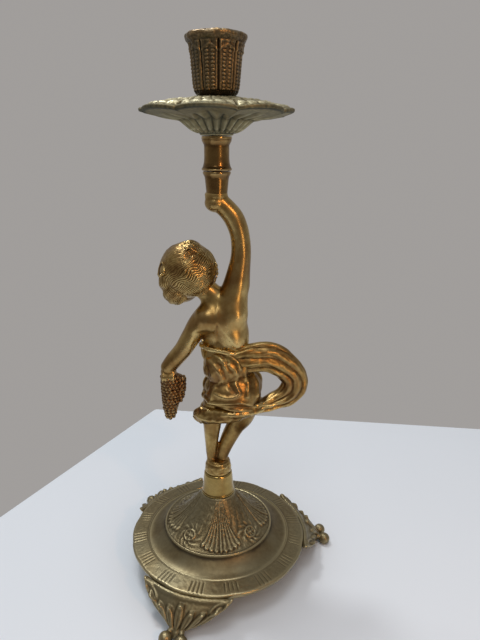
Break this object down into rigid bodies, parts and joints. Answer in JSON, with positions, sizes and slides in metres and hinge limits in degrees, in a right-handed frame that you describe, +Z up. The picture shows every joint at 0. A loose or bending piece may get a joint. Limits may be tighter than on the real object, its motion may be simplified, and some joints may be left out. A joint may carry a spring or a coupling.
{
  "type": "figural candle holder",
  "caption": "Cast-brass candlestick: a standing putto seen from behind lifts a lobed drip pan and a fluted candle cup above a domed round base on leaf feet.",
  "frame": {"origin": "centre of the whole holder's outline in plan, at the floor under the feet", "axes": "+Z up along the stack, -Y is the side that the figure turns its back to, +X to the right seen from -Y"},
  "size_m": [0.1226, 0.1264, 0.289],
  "materials": {
    "base_brass": "dull olive-brown patina, worn lighter on raised relief",
    "figure_brass": "glossy golden brass with red-brown patina in the recesses",
    "ferrule_brass": "turned, smooth and bright, lightly tarnished",
    "pan_brass": "dull grey-green patina, pale on the raised rim",
    "cup_brass": "brown patina with copper-coloured worn beads",
    "fixing_steel": "plain, slightly rusty"
  },
  "bodies": {
    "root": {"base_dish": "base_brass", "foot_1": "base_brass", "foot_2": "base_brass", "foot_3": "base_brass", "foot_screw_1": "fixing_steel", "foot_screw_2": "fixing_steel", "foot_screw_3": "fixing_steel", "bottom_washer": "fixing_steel", "bottom_nut": "fixing_steel", "tie_rod": "fixing_steel", "plinth_ferrule": "ferrule_brass", "cherub_figure": "figure_brass", "stem_ferrule": "ferrule_brass", "top_stud": "fixing_steel", "drip_pan": "pan_brass", "candle_cup": "cup_brass"}
  },
  "joints": []
}
